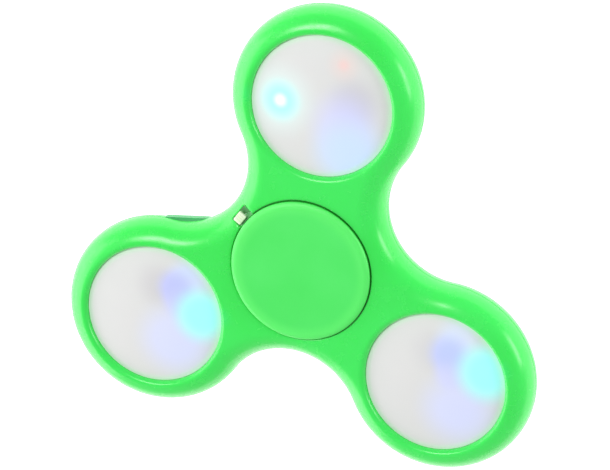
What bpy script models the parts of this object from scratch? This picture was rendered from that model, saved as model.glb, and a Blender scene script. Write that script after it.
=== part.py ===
"""Fidget spinner with three light-up lobes, turning on a ball bearing between two finger caps.

Frame: +Z is the spin axis. The origin is on that axis, in the flat face of the back cap, on which the
spinner lies. The lobes point along 90, 210 and 330 degrees. Sizes below are millimetres.
"""

import math

import bmesh
import bpy
from mathutils import Vector

MM = 0.001
GAP = 0.3  # kept between pieces that touch
CUT = 1.0  # how far a cutter runs past the face it opens

# Body: two moulded shells
LOBE_COUNT = 3
FIRST_LOBE_ANGLE = 90.0
ARM_WALL = 1.9  # bearing seat to the flange of a lens
RIM_WIDTH = 2.8  # flange of a lens to the outside of its lobe
NECK_WALL = 2.2  # bearing seat to the middle of a waist
EDGE_RADIUS = 3.6
EDGE_SHARE = 0.95  # most of the half thickness that the rounded edge may take
WALL = 1.2
LOBE_SEGMENTS = 18  # flats round each lobe
WAIST_SEGMENTS = 6
EDGE_SEGMENTS = 2  # bevel resolution of the rounded edge
CAVITY_CHAMFER = 1.4  # inside the rounded edge

# 608 ball bearing
BEARING_RADIUS = 11.0
BEARING_BORE_RADIUS = 4.0
BEARING_WIDTH = 7.0
BALL_COUNT = 7
BALL_RADIUS = 1.9
GROOVE_GAP = 0.2  # ball to groove and to cage pocket
SHOULDER_GAP = 1.45  # pitch circle to the shoulder of each race
SHIELD_STEP = 0.65  # seat of a shield, outside the shoulder of the outer race
SHIELD_THICKNESS = 0.3
SHIELD_DEPTH = 0.35  # shield below the face of the bearing
CAGE_WALL = 1.0
CAGE_FLOOR = 0.45
CAGE_RISE = 0.9  # cage above the plane of the balls
CAGE_MOUTH = 0.8  # mouth of a pocket, as a share of its width
SEAT_WALL = 0.9

# Finger caps
CAP_INSET = 0.1  # cap inside the outside of the bearing
CAP_PROUD = 0.7  # cap face above the body
CAP_EDGE_RADIUS = 0.45
CAP_SIDE_GAP = 0.35  # cap to the rim of its recess
SPIGOT_GAP = 0.3
SPIGOT_CHAMFER = 0.4

# Lenses
LENS_RADIUS = 10.9  # the part that shows
LENS_RECESS = 0.6  # lens rim below the face of the body
LENS_RISE = 0.8  # dome at the middle of a lens
LENS_THICKNESS = 0.8
LENS_FLANGE = 1.0  # hidden rim, held behind the lip
LIP_RADIUS = 0.8  # rolled lip round a lens

# Light module
BOARD_THICKNESS = 0.6
CELL_RADIUS = 6.25
CELL_THICKNESS = 1.6
CELL_STEP = 0.3  # round the smaller terminal
CELL_SPACE = 1.2  # cell to the height of a lens's rim
HOLDER_WALL = 0.7
HOLDER_HEIGHT = 1.3
HOLDER_MOUTH = 5.0
LED_LENGTH = 3.0
LED_WIDTH = 2.6
LED_HEIGHT = 1.0
LED_PITCH_RADIUS = 6.4
CHIP_SIZE = (4.0, 3.0, 0.7)
MODULE_TURNS = (180.0, 0.0, 15.0)  # where the green LED of each lobe points

# Case screws, put in from the back
SCREW_SPACE = 1.8  # bearing seat to the middle of a screw
SCREW_ANGLE = 30.0  # from the middle of each lobe
SHANK_RADIUS = 0.8
SHANK_LENGTH = 4.6
SHANK_POINT = 0.5  # taper at the tip
HEAD_RADIUS = 1.4
HEAD_HEIGHT = 0.8
HEAD_CHAMFER = 0.3
HEAD_SINK = 0.45  # head below the face of the body
RECESS_DEPTH = 0.45
RECESS_WIDTH = 0.4
RECESS_LENGTH = 1.7
BOSS_WALL = 0.9

# Slide switch
SWITCH_ANGLE = 150.0
SWITCH_SPACE = 0.45  # bearing to the housing
SWITCH_LENGTH = 6.7
SWITCH_DEPTH = 1.4
SWITCH_HEIGHT = 2.7
SWITCH_TOP = 2.0  # above the parting plane
KNOB_LENGTH = 1.5
KNOB_DEPTH = 1.35
KNOB_PROUD = 0.1  # above the face of the body
KNOB_TRAVEL = 1.0
STEM_LENGTH = 0.9
STEM_DEPTH = 0.35
STEM_DROP = 0.9  # stem inside the housing
STEM_GAP = 0.25

# Slot in the parting line for prying the shells apart
PRY_LENGTH = 6.3
PRY_DEPTH = 0.8
PRY_HEIGHT = 1.3
PRY_SWING = 45.0  # round the waist arc, from its middle

# Wires
WIRE_RADIUS = 0.25
WIRE_GAP = 0.2
WIRE_POINTS = 13
WIRE_START = 1.5  # swing past the end of the switch
WIRE_LEAVES = 9.0  # swing from the waist at which a wire leaves the bearing seat
WIRE_SWING = 20.0  # swing over which it moves out past the bosses

# Worked out from the sizes above
HALF_BOARD = BOARD_THICKNESS / 2
LENS_RIM = HALF_BOARD + GAP + CELL_THICKNESS + CELL_SPACE
HALF_BODY = LENS_RIM + LENS_RECESS
MID = CAP_PROUD + HALF_BODY  # height of the parting plane
HALF_BEARING = BEARING_WIDTH / 2
PITCH_RADIUS = (BEARING_BORE_RADIUS + BEARING_RADIUS) / 2
SEAT_RADIUS = BEARING_RADIUS + GAP
SEAT_OUTER = SEAT_RADIUS + SEAT_WALL
CAP_RADIUS = BEARING_RADIUS - CAP_INSET
RECESS_RADIUS = CAP_RADIUS + CAP_SIDE_GAP
CAP_BACK = HALF_BEARING + GAP  # cap's inner face above the parting plane
FLANGE_TOP = HALF_BODY - WALL - GAP
HOLE_RADIUS = LENS_RADIUS + GAP
FLANGE_RADIUS = LENS_RADIUS + LENS_FLANGE
LOBE_REACH = SEAT_OUTER + ARM_WALL + FLANGE_RADIUS  # spin axis to the centre of a lobe
LOBE_RADIUS = FLANGE_RADIUS + RIM_WIDTH
HALF_STEP = 180.0 / LOBE_COUNT  # middle of a lobe to the middle of the next waist
SWITCH_REACH = BEARING_RADIUS + SWITCH_SPACE + SWITCH_DEPTH / 2
SCREW_REACH = SEAT_OUTER + SCREW_SPACE
BOSS_RADIUS = SHANK_RADIUS + GAP + BOSS_WALL
HEAD_SEAT = -HALF_BODY + HEAD_SINK + HEAD_HEIGHT  # under the screw head
HEAD_FLOOR = HEAD_SEAT + WALL
SCREW_TIP = HEAD_SEAT + SHANK_LENGTH
SEAT_WIRE = SEAT_OUTER + WIRE_GAP + WIRE_RADIUS  # wires nearest to the bearing
BOSS_WIRE = SCREW_REACH + BOSS_RADIUS + WIRE_GAP + WIRE_RADIUS  # wires outside the bosses
NECK = SEAT_OUTER + NECK_WALL
LOBE_ALONG = LOBE_REACH * math.cos(math.radians(HALF_STEP))  # of a lobe's centre, towards a waist
# The arc round a waist passes through the neck and touches both of its lobes
WAIST_RADIUS = (NECK**2 + LOBE_REACH**2 - LOBE_RADIUS**2 - 2 * NECK * LOBE_ALONG) / (
    2 * (LOBE_RADIUS + LOBE_ALONG - NECK)
)
WAIST_REACH = NECK + WAIST_RADIUS


# ---------------------------------------------------------------- tools


def clear_scene():
    for item in list(bpy.data.objects):
        bpy.data.objects.remove(item, do_unlink=True)


def make_collection(name):
    collection = bpy.data.collections.new(name)
    bpy.context.scene.collection.children.link(collection)
    return collection


def make_material(name, colour, roughness, metallic=0.0):
    material = bpy.data.materials.new(name)
    material.use_nodes = True
    shader = material.node_tree.nodes["Principled BSDF"]
    shader.inputs["Base Color"].default_value = (*colour, 1.0)
    shader.inputs["Roughness"].default_value = roughness
    shader.inputs["Metallic"].default_value = metallic
    material.diffuse_color = (*colour, 1.0)
    return material


def polar(radius, angle, height=0.0):
    turn = math.radians(angle)
    return Vector((radius * math.cos(turn), radius * math.sin(turn), height))


def arc(centre, radius, start, end, segments):
    steps = [start + (end - start) * i / segments for i in range(segments + 1)]
    return [centre + polar(radius, angle) for angle in steps]


def add_object(name, mesh, place, angle=0.0):
    """Link a mesh whose own coordinates are millimetres from place, turned about Z."""
    item = bpy.data.objects.new(name, mesh)
    PARTS.objects.link(item)
    item.location = place * MM
    item.rotation_euler.z = math.radians(angle)
    return item


def scaled_mesh(name, form):
    bmesh.ops.scale(form, vec=Vector((MM, MM, MM)), verts=form.verts)
    mesh = bpy.data.meshes.new(name)
    form.to_mesh(mesh)
    form.free()
    return mesh


def box(name, size, place, angle=0.0):
    form = bmesh.new()
    bmesh.ops.create_cube(form, size=1.0)
    bmesh.ops.scale(form, vec=Vector(size), verts=form.verts)
    return add_object(name, scaled_mesh(name, form), place, angle)


def cylinder(name, radius, low, high, place, segments=20):
    form = bmesh.new()
    bmesh.ops.create_cone(
        form, cap_ends=True, segments=segments, radius1=radius, radius2=radius, depth=high - low
    )
    bmesh.ops.translate(form, vec=Vector((0, 0, (low + high) / 2)), verts=form.verts)
    return add_object(name, scaled_mesh(name, form), place)


def ball(name, radius, place, segments=10):
    form = bmesh.new()
    bmesh.ops.create_uvsphere(form, u_segments=segments, v_segments=segments // 2, radius=radius)
    return add_object(name, scaled_mesh(name, form), place)


def turned(name, profile, place, steps=24, smooth_angle=35.0):
    """Turn a closed profile of (radius, height), listed down its outer side first."""
    form = bmesh.new()
    points = [form.verts.new((radius, 0.0, height)) for radius, height in profile]
    ends_on_axis = profile[0][0] == 0.0 and profile[-1][0] == 0.0
    for first, second in zip(points, points[1:]):
        form.edges.new((first, second))
    if not ends_on_axis:
        form.edges.new((points[-1], points[0]))
    item = add_object(name, scaled_mesh(name, form), place)
    screw = item.modifiers.new("Turn", "SCREW")
    screw.steps = steps
    screw.render_steps = steps
    screw.use_merge_vertices = True
    screw.merge_threshold = 0.000001
    return freeze(item, smooth_angle)


def slab(name, points, low, high, edge=0.0, edge_segments=EDGE_SEGMENTS):
    """A flat outline with thickness, its edges rounded when edge is given."""
    curve = bpy.data.curves.new(name, "CURVE")
    curve.dimensions = "2D"
    curve.fill_mode = "BOTH"
    curve.extrude = ((high - low) / 2 - edge) * MM
    curve.bevel_depth = edge * MM
    curve.bevel_resolution = edge_segments
    curve.offset = -edge * MM
    spline = curve.splines.new("POLY")
    spline.points.add(len(points) - 1)
    for point, place in zip(spline.points, points):
        point.co = (place.x * MM, place.y * MM, 0.0, 1.0)
    spline.use_cyclic_u = True
    return curve_to_mesh(name, curve, Vector((0, 0, (low + high) / 2)))


def tube(name, points, radius):
    curve = bpy.data.curves.new(name, "CURVE")
    curve.dimensions = "3D"
    curve.bevel_depth = radius * MM
    curve.bevel_resolution = 2
    curve.use_fill_caps = True
    spline = curve.splines.new("POLY")
    spline.points.add(len(points) - 1)
    for point, place in zip(spline.points, points):
        point.co = (*(place * MM), 1.0)
    return curve_to_mesh(name, curve, Vector((0, 0, 0)))


def curve_to_mesh(name, curve, place):
    guide = bpy.data.objects.new(name + "_guide", curve)
    PARTS.objects.link(guide)
    bpy.context.view_layer.update()
    evaluated = guide.evaluated_get(bpy.context.evaluated_depsgraph_get())
    mesh = bpy.data.meshes.new_from_object(evaluated)
    mesh.name = name
    bpy.data.objects.remove(guide, do_unlink=True)
    form = bmesh.new()
    form.from_mesh(mesh)
    bmesh.ops.remove_doubles(form, verts=form.verts, dist=0.000002)
    bmesh.ops.recalc_face_normals(form, faces=form.faces)
    form.to_mesh(mesh)
    form.free()
    return add_object(name, mesh, place)


def freeze(item, smooth_angle=35.0):
    """Apply the modifiers, keeping the object where it is."""
    bpy.context.view_layer.update()
    evaluated = item.evaluated_get(bpy.context.evaluated_depsgraph_get())
    mesh = bpy.data.meshes.new_from_object(evaluated)
    item.modifiers.clear()
    item.data = mesh
    mesh.shade_smooth()
    mesh.set_sharp_from_angle(angle=math.radians(smooth_angle))
    return item


def combine(item, operation, others):
    """Boolean others into item one after another; the others become hidden cutters."""
    for other in others:
        change = item.modifiers.new(operation.title(), "BOOLEAN")
        change.operation = operation
        change.solver = "EXACT"
        change.object = other
        hide_cutter(other)
    return freeze(item)


def hide_cutter(item):
    if item.name in PARTS.objects:
        PARTS.objects.unlink(item)
        CUTTERS.objects.link(item)
    item.hide_render = True
    item.display_type = "WIRE"


def finish(item, material):
    item.data.materials.clear()
    item.data.materials.append(material)
    return item


# ---------------------------------------------------------------- body


def lobe_angles():
    return [FIRST_LOBE_ANGLE + 360.0 * i / LOBE_COUNT for i in range(LOBE_COUNT)]


def body_outline(inset=0.0):
    """Lobe arcs joined by the concave waist arcs, tangent to each other."""
    points = []
    for angle in lobe_angles():
        lobe = polar(LOBE_REACH, angle)
        waist = polar(WAIST_REACH, angle + HALF_STEP)
        joint = waist - lobe
        swing = math.degrees(math.atan2(joint.y, joint.x)) - angle
        swing = (swing + 180.0) % 360.0 - 180.0
        points += arc(lobe, LOBE_RADIUS - inset, angle - swing, angle + swing, LOBE_SEGMENTS)
        start = angle + swing - 180.0
        end = angle + 2 * HALF_STEP - swing - 180.0
        while end > start:
            end -= 360.0
        waist_arc = arc(waist, WAIST_RADIUS + inset, start, end, WAIST_SEGMENTS)
        points += waist_arc[1:-1]
    return points


def body_solid(name, inset, edge, edge_segments):
    half = HALF_BODY - inset
    return slab(name, body_outline(inset), MID - half, MID + half, edge, edge_segments)


def lens_opening(name, place, side):
    """Cutter for a lens opening with its rolled lip, on the front (1) or the back (-1)."""
    mouth = HOLE_RADIUS + LIP_RADIUS
    profile = [(0.0, HALF_BODY + CUT), (mouth, HALF_BODY + CUT), (mouth, HALF_BODY)]
    for i in range(1, 3):
        turn = math.radians(45.0 * i)
        drop = LIP_RADIUS * (1 - math.cos(turn))
        profile.append((mouth - LIP_RADIUS * math.sin(turn), HALF_BODY - drop))
    profile += [(HOLE_RADIUS, 0.0), (0.0, 0.0)]
    return turned(name, mirrored(profile, side), place)


def mirrored(profile, side):
    if side > 0:
        return profile
    return [(radius, -height) for radius, height in reversed(profile)]


def screw_places():
    return [polar(SCREW_REACH, angle + SCREW_ANGLE, MID) for angle in lobe_angles()]


def switch_place(height=0.0):
    return polar(SWITCH_REACH, SWITCH_ANGLE, MID + height)


def pry_slot(name):
    waist = polar(WAIST_REACH, SWITCH_ANGLE)
    middle = SWITCH_ANGLE - 180.0 - PRY_SWING
    half_swing = math.degrees(PRY_LENGTH / 2 / WAIST_RADIUS)
    inner = arc(waist, WAIST_RADIUS - CUT, middle - half_swing, middle + half_swing, 6)
    outer = arc(waist, WAIST_RADIUS + PRY_DEPTH, middle + half_swing, middle - half_swing, 6)
    return slab(name, inner + outer, MID - PRY_HEIGHT, MID + CUT)


def make_shell(name, side, material):
    """One half of the body: a hollow rounded slab, cut at the parting plane."""
    shell = body_solid(name, 0.0, min(EDGE_RADIUS, HALF_BODY * EDGE_SHARE), EDGE_SEGMENTS)
    cavity = body_solid(name + "_cavity", WALL, CAVITY_CHAMFER, 0)
    kept = [cylinder(name + "_seat", SEAT_OUTER, MID - HALF_BODY, MID + HALF_BODY, Vector((0, 0, 0)), 36)]
    for i, place in enumerate(screw_places()):
        kept.append(cylinder(f"{name}_boss_{i}", BOSS_RADIUS, -HALF_BODY, HALF_BODY, place))
        if side < 0:
            radius = HEAD_RADIUS + GAP + BOSS_WALL
            kept.append(cylinder(f"{name}_head_boss_{i}", radius, -HALF_BODY, HEAD_FLOOR, place))
    combine(cavity, "DIFFERENCE", kept)

    reach = (LOBE_REACH + LOBE_RADIUS) * 2 + CUT
    far_half = box(
        name + "_far_half",
        (reach, reach, 2 * HALF_BODY + CUT),
        Vector((0, 0, MID - side * (HALF_BODY + CUT / 2 - GAP / 2))),
    )
    cutters = [cavity, far_half]
    seat = [
        (SEAT_RADIUS, side * CAP_BACK),
        (SEAT_RADIUS, -side * CUT),
        (0.0, -side * CUT),
        (0.0, side * (HALF_BODY + CUT)),
        (RECESS_RADIUS, side * (HALF_BODY + CUT)),
        (RECESS_RADIUS, side * CAP_BACK),
    ]
    axis_first = seat[3:] + seat[:3] if side > 0 else seat[:3][::-1] + seat[3:][::-1]
    cutters.append(turned(name + "_hub", axis_first, Vector((0, 0, MID)), 36))
    for i, angle in enumerate(lobe_angles()):
        cutters.append(lens_opening(f"{name}_opening_{i}", polar(LOBE_REACH, angle, MID), side))
    for i, place in enumerate(screw_places()):
        if side > 0:
            cutters.append(
                cylinder(f"{name}_pilot_{i}", SHANK_RADIUS + GAP, -CUT, SCREW_TIP + GAP, place, 12)
            )
        else:
            cutters.append(
                cylinder(f"{name}_clearance_{i}", SHANK_RADIUS + GAP, -HALF_BODY, CUT, place, 12)
            )
            cutters.append(
                cylinder(
                    f"{name}_counterbore_{i}", HEAD_RADIUS + GAP, -HALF_BODY - CUT, HEAD_SEAT + GAP, place
                )
            )
    cutters.append(switch_pocket(name + "_switch_pocket"))
    if side > 0:
        cutters.append(knob_notch(name + "_knob_notch"))
    else:
        cutters.append(pry_slot(name + "_pry_slot"))
    return finish(combine(shell, "DIFFERENCE", cutters), material)


def switch_pocket(name):
    """Room for the switch housing in the wall of the bearing seat, open to the seat."""
    size = (
        SWITCH_DEPTH + GAP + CUT,
        SWITCH_LENGTH + 2 * GAP,
        SWITCH_HEIGHT + 2 * GAP,
    )
    offset = (GAP - CUT) / 2
    place = polar(SWITCH_REACH + offset, SWITCH_ANGLE, MID + SWITCH_TOP - SWITCH_HEIGHT / 2)
    return box(name, size, place, SWITCH_ANGLE)


def knob_notch(name):
    """Slot for the knob and its travel, open to the recess of the cap."""
    size = (
        KNOB_DEPTH + GAP + CUT,
        KNOB_LENGTH + KNOB_TRAVEL + 2 * GAP,
        HALF_BODY - SWITCH_TOP + CUT,
    )
    offset = (GAP - CUT) / 2
    place = polar(SWITCH_REACH + offset, SWITCH_ANGLE, MID + SWITCH_TOP + size[2] / 2)
    return box(name, size, place, SWITCH_ANGLE)


def make_screw(name, place, material):
    head_face = HEAD_SEAT - HEAD_HEIGHT
    profile = [
        (0.0, SCREW_TIP),
        (SHANK_RADIUS - SHANK_POINT, SCREW_TIP),
        (SHANK_RADIUS, SCREW_TIP - SHANK_POINT),
        (SHANK_RADIUS, HEAD_SEAT),
        (HEAD_RADIUS, HEAD_SEAT),
        (HEAD_RADIUS, head_face + HEAD_CHAMFER),
        (HEAD_RADIUS - HEAD_CHAMFER, head_face),
        (0.0, head_face),
    ]
    screw = turned(name, profile, place, 16)
    slots = []
    for i in range(2):
        size = (RECESS_LENGTH, RECESS_WIDTH, RECESS_DEPTH + CUT)
        middle = place + Vector((0, 0, head_face + RECESS_DEPTH - size[2] / 2))
        slots.append(box(f"{name}_slot_{i}", size, middle, 90.0 * i))
    return finish(combine(screw, "DIFFERENCE", slots), material)


# ---------------------------------------------------------------- bearing


def groove(centre_radius, shoulder, inward):
    """Points of a race's groove, from its upper edge down to its lower edge."""
    radius = BALL_RADIUS + GROOVE_GAP
    half_height = math.sqrt(radius**2 - (shoulder - centre_radius) ** 2)
    opening = math.degrees(math.atan2(half_height, abs(shoulder - centre_radius)))
    points = []
    for i in range(6):
        turn = math.radians(opening - 2 * opening * i / 5)
        reach = radius * math.cos(turn)
        radial = centre_radius - reach if inward else centre_radius + reach
        points.append((radial, radius * math.sin(turn)))
    return points


def make_outer_race(material):
    shoulder = PITCH_RADIUS + SHOULDER_GAP
    step = shoulder + SHIELD_STEP
    floor = HALF_BEARING - SHIELD_DEPTH - SHIELD_THICKNESS - GAP
    profile = [(BEARING_RADIUS, HALF_BEARING), (BEARING_RADIUS, -HALF_BEARING)]
    profile += [(step, -HALF_BEARING), (step, -floor), (shoulder, -floor)]
    profile += groove(PITCH_RADIUS, shoulder, False)[::-1]
    profile += [(shoulder, floor), (step, floor), (step, HALF_BEARING)]
    return finish(turned("bearing_outer_race", profile, Vector((0, 0, MID)), 32), material)


def make_inner_race(material):
    shoulder = PITCH_RADIUS - SHOULDER_GAP
    profile = [(shoulder, HALF_BEARING)]
    profile += groove(PITCH_RADIUS, shoulder, True)
    profile += [
        (shoulder, -HALF_BEARING),
        (BEARING_BORE_RADIUS, -HALF_BEARING),
        (BEARING_BORE_RADIUS, HALF_BEARING),
    ]
    return finish(turned("bearing_inner_race", profile, Vector((0, 0, MID)), 28), material)


def ball_places():
    return [polar(PITCH_RADIUS, 360.0 * i / BALL_COUNT, MID) for i in range(BALL_COUNT)]


def make_balls(material):
    for i, place in enumerate(ball_places()):
        finish(ball(f"bearing_ball_{i + 1}", BALL_RADIUS, place), material).data.shade_smooth()


def make_cage(material):
    """A crown of moulded nylon: a ring with a pocket for each ball, open to the front."""
    pocket = BALL_RADIUS + GROOVE_GAP
    low, high = -pocket - CAGE_FLOOR, CAGE_RISE
    outer, inner = PITCH_RADIUS + CAGE_WALL / 2, PITCH_RADIUS - CAGE_WALL / 2
    profile = [(outer, high), (outer, low), (inner, low), (inner, high)]
    cage = turned("bearing_cage", profile, Vector((0, 0, MID)), 28)
    pockets = []
    for i, place in enumerate(ball_places()):
        pockets.append(ball(f"cage_pocket_{i}", pocket, place, 12))
        angle = 360.0 * i / BALL_COUNT
        mouth = box(f"cage_mouth_{i}", (CAGE_WALL + CUT, 2 * pocket * CAGE_MOUTH, CUT * 2), place, angle)
        mouth.location.z += (CAGE_RISE + CUT / 2) * MM
        pockets.append(mouth)
    return finish(combine(cage, "DIFFERENCE", pockets), material)


def make_shield(name, side, material):
    top = HALF_BEARING - SHIELD_DEPTH
    outer = PITCH_RADIUS + SHOULDER_GAP + SHIELD_STEP - GAP
    inner = PITCH_RADIUS - SHOULDER_GAP + GAP
    profile = [(outer, top), (outer, top - SHIELD_THICKNESS), (inner, top - SHIELD_THICKNESS), (inner, top)]
    if side < 0:
        profile = mirrored(profile, side)
    return finish(turned(name, profile, Vector((0, 0, MID)), 36), material)


# ---------------------------------------------------------------- finger caps


def make_cap(name, side, material):
    """A flat button with a rounded edge and a spigot that fills half of the bearing's bore."""
    face = HALF_BODY + CAP_PROUD
    profile = [(0.0, face)]
    for i in range(3):
        turn = math.radians(45.0 * i)
        profile.append(
            (
                CAP_RADIUS - CAP_EDGE_RADIUS * (1 - math.sin(turn)),
                face - CAP_EDGE_RADIUS * (1 - math.cos(turn)),
            )
        )
    spigot = BEARING_BORE_RADIUS - SPIGOT_GAP
    profile += [
        (CAP_RADIUS, CAP_BACK),
        (spigot, CAP_BACK),
        (spigot, GAP / 2 + SPIGOT_CHAMFER),
        (spigot - SPIGOT_CHAMFER, GAP / 2),
        (0.0, GAP / 2),
    ]
    return finish(turned(name, mirrored(profile, side), Vector((0, 0, MID)), 36), material)


# ---------------------------------------------------------------- lights


def lens_height(radius):
    """Height of a lens's outer face above the parting plane."""
    return LENS_RIM + LENS_RISE * (1 - (radius / LENS_RADIUS) ** 2)


def make_lens(name, place, side, material):
    outside = [(LENS_RADIUS * share, lens_height(LENS_RADIUS * share)) for share in (0.0, 0.4, 0.75, 1.0)]
    inside_edge = LENS_RADIUS - LENS_THICKNESS
    inside = [
        (inside_edge * share, lens_height(inside_edge * share) - LENS_THICKNESS) for share in (1.0, 0.5, 0.0)
    ]
    seat = HALF_BOARD + GAP
    profile = outside + [
        (LENS_RADIUS, FLANGE_TOP),
        (FLANGE_RADIUS, FLANGE_TOP),
        (FLANGE_RADIUS, seat),
        (inside_edge, seat),
    ]
    profile += inside
    return finish(turned(name, mirrored(profile, side), place), material)


def make_module(lobe, angle, turn, materials):
    """Everything inside one lobe: lenses, board, LEDs, chip, cell and its holder."""
    middle = polar(LOBE_REACH, angle, MID)
    make_lens(f"front_lens_{lobe}", middle, 1, materials["lens"])
    make_lens(f"rear_lens_{lobe}", middle, -1, materials["lens"])
    board = cylinder(f"led_board_{lobe}", FLANGE_RADIUS, -HALF_BOARD, HALF_BOARD, middle, 32)
    finish(board, materials["board"])

    front = HALF_BOARD + GAP
    for i, colour in enumerate(("green", "blue", "red")):
        direction = turn + 120.0 * i
        place = middle + polar(LED_PITCH_RADIUS, direction, front + LED_HEIGHT / 2)
        led = box(f"led_{colour}_{lobe}", (LED_WIDTH, LED_LENGTH, LED_HEIGHT), place, direction)
        finish(led, materials["led_" + colour])
    chip_place = middle + Vector((0, 0, front + CHIP_SIZE[2] / 2))
    finish(box(f"control_chip_{lobe}", CHIP_SIZE, chip_place, turn), materials["chip"])

    back = -HALF_BOARD - GAP
    cell = turned(
        f"coin_cell_{lobe}",
        [
            (0.0, back),
            (CELL_RADIUS - CELL_STEP, back),
            (CELL_RADIUS - CELL_STEP, back - CELL_STEP),
            (CELL_RADIUS, back - CELL_STEP),
            (CELL_RADIUS, back - CELL_THICKNESS),
            (0.0, back - CELL_THICKNESS),
        ],
        middle,
    )
    finish(cell, materials["cell"])
    holder_inner = CELL_RADIUS + GAP
    holder_outer = holder_inner + HOLDER_WALL
    holder = turned(
        f"cell_holder_{lobe}",
        [
            (holder_outer, back),
            (holder_outer, back - HOLDER_HEIGHT),
            (holder_inner, back - HOLDER_HEIGHT),
            (holder_inner, back),
        ],
        middle,
    )
    mouth_place = middle + polar(holder_inner, turn, back - HOLDER_HEIGHT / 2)
    mouth = box(
        f"holder_mouth_{lobe}", (HOLDER_WALL + 4 * CUT, HOLDER_MOUTH, HOLDER_HEIGHT + CUT), mouth_place, turn
    )
    finish(combine(holder, "DIFFERENCE", [mouth]), materials["holder"])


# ---------------------------------------------------------------- switch and wires


def slide_direction():
    """The knob's travel, along the notch and away from the left lobe."""
    return polar(1.0, SWITCH_ANGLE - 90.0)


def make_switch(materials):
    housing = box(
        "switch_housing",
        (SWITCH_DEPTH, SWITCH_LENGTH, SWITCH_HEIGHT),
        switch_place(SWITCH_TOP - SWITCH_HEIGHT / 2),
        SWITCH_ANGLE,
    )
    channel = box(
        "switch_channel",
        (
            STEM_DEPTH + 2 * STEM_GAP,
            STEM_LENGTH + KNOB_TRAVEL + 2 * STEM_GAP,
            STEM_DROP + STEM_GAP + CUT,
        ),
        switch_place(SWITCH_TOP - STEM_DROP - STEM_GAP + (STEM_DROP + STEM_GAP + CUT) / 2),
        SWITCH_ANGLE,
    )
    finish(combine(housing, "DIFFERENCE", [channel]), materials["switch"])

    rest = slide_direction() * (-KNOB_TRAVEL / 2)
    low = SWITCH_TOP + GAP
    high = HALF_BODY + KNOB_PROUD
    knob = box(
        "switch_knob",
        (KNOB_DEPTH, KNOB_LENGTH, high - low),
        switch_place((low + high) / 2) + rest,
        SWITCH_ANGLE,
    )
    stem_low = SWITCH_TOP - STEM_DROP
    stem_high = (low + high) / 2
    stem = box(
        "switch_stem",
        (STEM_DEPTH, STEM_LENGTH, stem_high - stem_low),
        switch_place((stem_low + stem_high) / 2) + rest,
        SWITCH_ANGLE,
    )
    combine(knob, "UNION", [stem])
    finish(knob, materials["knob"])


def wire_route(waist_angle, start, end):
    """Round one waist: close to the bearing seat at its middle, outside the bosses near the lobes."""
    points = []
    for i in range(WIRE_POINTS):
        swing = start + (end - start) * i / (WIRE_POINTS - 1)
        share = min(max((abs(swing) - WIRE_LEAVES) / WIRE_SWING, 0.0), 1.0)
        ease = share * share * (3 - 2 * share)
        reach = SEAT_WIRE + (BOSS_WIRE - SEAT_WIRE) * ease
        points.append(polar(reach, waist_angle + swing, MID))
    return points


def wire_end_swing():
    """Swing from the middle of a waist at which a wire reaches the edge of a board."""
    board = FLANGE_RADIUS + GAP + WIRE_RADIUS
    share = (BOSS_WIRE**2 + LOBE_REACH**2 - board**2) / (2 * BOSS_WIRE * LOBE_REACH)
    return HALF_STEP - math.degrees(math.acos(min(share, 1.0)))


def make_wires(material):
    end = wire_end_swing()
    switch_swing = math.degrees(math.atan2(SWITCH_LENGTH / 2 + GAP + WIRE_RADIUS, SEAT_OUTER))
    start = switch_swing + WIRE_START
    names = ("switch_wire_left", "switch_wire_top")
    for name, side in zip(names, (1.0, -1.0)):
        finish(tube(name, wire_route(SWITCH_ANGLE, side * start, side * end), WIRE_RADIUS), material)
    for name, waist in (("link_wire_low", SWITCH_ANGLE + 120.0), ("link_wire_right", SWITCH_ANGLE - 120.0)):
        finish(tube(name, wire_route(waist, -end, end), WIRE_RADIUS), material)


# ---------------------------------------------------------------- assembly


def make_materials():
    return {
        "shell": make_material("shell_green", (0.05, 0.85, 0.12), 0.28),
        "cap": make_material("cap_green", (0.08, 0.86, 0.15), 0.5),
        "lens": make_material("lens_frosted", (0.82, 0.85, 0.84), 0.45),
        "board": make_material("board_white", (0.75, 0.76, 0.74), 0.5),
        "led_green": make_material("led_green", (0.25, 0.95, 0.9), 0.2),
        "led_red": make_material("led_red", (0.95, 0.45, 0.4), 0.2),
        "led_blue": make_material("led_blue", (0.35, 0.45, 0.95), 0.2),
        "chip": make_material("chip_black", (0.03, 0.03, 0.03), 0.35),
        "cell": make_material("cell_steel", (0.62, 0.62, 0.6), 0.3, 1.0),
        "holder": make_material("holder_black", (0.05, 0.05, 0.05), 0.5),
        "race": make_material("race_steel", (0.65, 0.66, 0.68), 0.18, 1.0),
        "ball": make_material("ball_steel", (0.72, 0.73, 0.75), 0.1, 1.0),
        "cage": make_material("cage_nylon", (0.65, 0.6, 0.48), 0.45),
        "shield": make_material("shield_steel", (0.58, 0.58, 0.6), 0.35, 1.0),
        "screw": make_material("screw_steel", (0.45, 0.45, 0.47), 0.35, 1.0),
        "switch": make_material("switch_steel", (0.5, 0.5, 0.52), 0.4, 1.0),
        "knob": make_material("knob_white", (0.85, 0.87, 0.8), 0.4),
        "wire": make_material("wire_red", (0.6, 0.04, 0.03), 0.5),
    }


def build():
    materials = make_materials()
    make_shell("front_shell", 1, materials["shell"])
    make_shell("back_shell", -1, materials["shell"])
    for i, place in enumerate(screw_places()):
        make_screw(f"case_screw_{i + 1}", place, materials["screw"])
    make_outer_race(materials["race"])
    make_inner_race(materials["race"])
    make_balls(materials["ball"])
    make_cage(materials["cage"])
    make_shield("bearing_shield_front", 1, materials["shield"])
    make_shield("bearing_shield_back", -1, materials["shield"])
    make_cap("front_cap", 1, materials["cap"])
    make_cap("back_cap", -1, materials["cap"])
    for lobe, angle, turn in zip(("top", "left", "right"), lobe_angles(), MODULE_TURNS):
        make_module(lobe, angle, turn, materials)
    make_switch(materials)
    make_wires(materials["wire"])


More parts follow.
